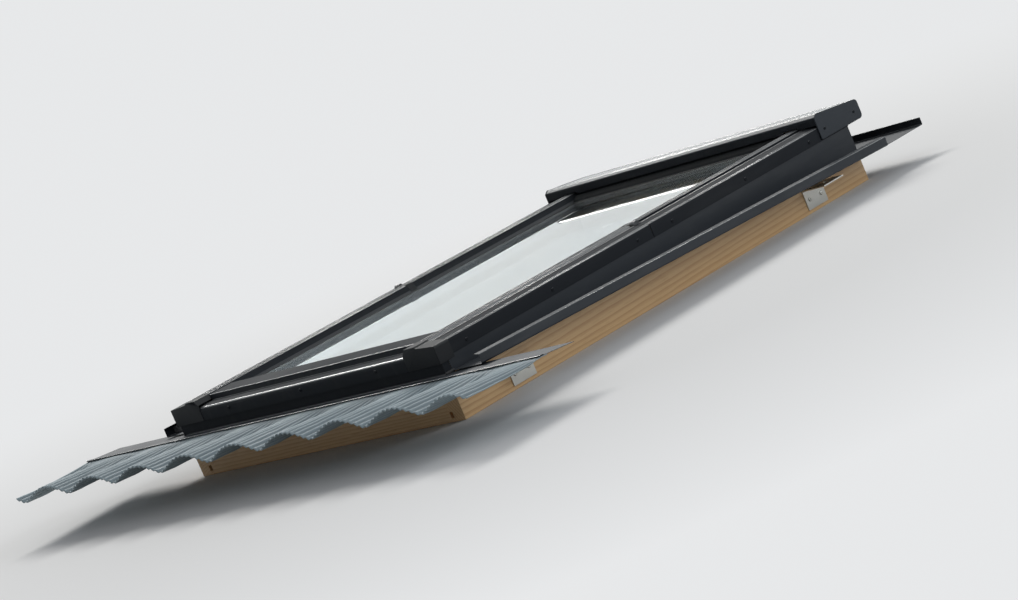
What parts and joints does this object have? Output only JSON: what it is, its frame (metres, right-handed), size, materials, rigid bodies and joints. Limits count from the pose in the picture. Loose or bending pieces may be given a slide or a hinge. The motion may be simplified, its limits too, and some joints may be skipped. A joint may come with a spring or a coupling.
{
  "type": "roof skylight",
  "caption": "Centre-pivot roof window: glazed timber sash and frame, dark metal cladding, raised hood, side gutters and a pleated apron.",
  "frame": {"origin": "centre of the frame on the plane of the roof battens, at the centre of the four bracket holes", "axes": "+X across the window to the right seen from outside, +Y up the slope of the roof, +Z out of the roof"},
  "size_m": [1.35, 1.5158, 0.1666],
  "materials": {
    "timber": "clear lacquered pine",
    "glass": "clear float glass",
    "spacer": "mill aluminium",
    "rubber": "matt black seal",
    "moulded": "fine grained black",
    "foam": "open cell foam",
    "skirt": "pleated, weathered coating",
    "flashing": "lacquered sheet",
    "cladding": "satin anthracite lacquer",
    "bar": "satin anodised",
    "zinc": "zinc plated"
  },
  "bodies": {
    "frame": {"frame_side_left": "timber", "frame_side_right": "timber", "frame_top": "timber", "frame_bottom": "timber", "frame_cover_left": "cladding", "frame_cover_right": "cladding", "frame_cover_bottom": "cladding", "hood": "cladding", "hood_end_left": "moulded", "hood_end_right": "moulded", "hood_supports": "moulded", "frame_seal_lower": "rubber", "frame_seal_upper": "rubber", "frame_hinge_left": "zinc", "frame_hinge_right": "zinc", "striker_plate": "zinc", "bolt_bush": "zinc", "fixing_brackets": "zinc", "bracket_screws": "zinc", "apron_head": "flashing", "apron_skirt": "skirt", "side_gutter_left": "flashing", "side_gutter_right": "flashing", "gutter_foam_left": "foam", "gutter_foam_right": "foam", "top_flashing": "flashing"},
    "sash": {"sash_stile_left": "timber", "sash_stile_right": "timber", "sash_bottom_rail": "timber", "sash_top_rail": "timber", "inner_pane": "glass", "outer_pane": "glass", "pane_spacer": "spacer", "edge_sealant": "rubber", "bed_gasket": "rubber", "lip_gasket": "rubber", "setting_blocks": "moulded", "sash_cover_left": "cladding", "sash_cover_right": "cladding", "upper_trim_left": "cladding", "upper_trim_right": "cladding", "pivot_cap_left": "moulded", "pivot_cap_right": "moulded", "sash_cover_bottom": "cladding", "sash_cover_top": "cladding", "cover_corner_left": "moulded", "cover_corner_right": "moulded", "sash_hinge_left": "zinc", "sash_hinge_right": "zinc", "flap_hinge_left": "zinc", "flap_hinge_right": "zinc", "vent_filter": "foam", "lock_case": "zinc", "bolt_guide": "moulded"},
    "bar": {"vent_flap": "bar", "control_bar": "bar", "bar_posts": "bar", "bar_ends": "moulded"},
    "latch_bolt": {"latch": "zinc"},
    "bolt": {"barrel_bolt": "zinc"}
  },
  "joints": [
    {"name": "sash_pivot", "type": "hinge", "parent": "frame", "child": "sash", "pos_m": [0, 0, 0.1], "axis": [-1, 0, 0], "range_deg": [0, 165]},
    {"name": "bar_turn", "type": "hinge", "parent": "sash", "child": "bar", "pos_m": [0, 0.534, 0.015], "axis": [-1, 0, 0], "range_deg": [0, 40]},
    {"name": "latch_slide", "type": "slide", "parent": "sash", "child": "latch_bolt", "axis": [0, 1, 0], "range_m": [0, 0.012]},
    {"name": "bolt_slide", "type": "slide", "parent": "sash", "child": "bolt", "axis": [-1, 0, 0], "range_m": [0, 0.011]}
  ],
  "couplings": [
    {"joint": "latch_slide", "follows": "bar_turn", "m_per_rad": 0.017189}
  ]
}
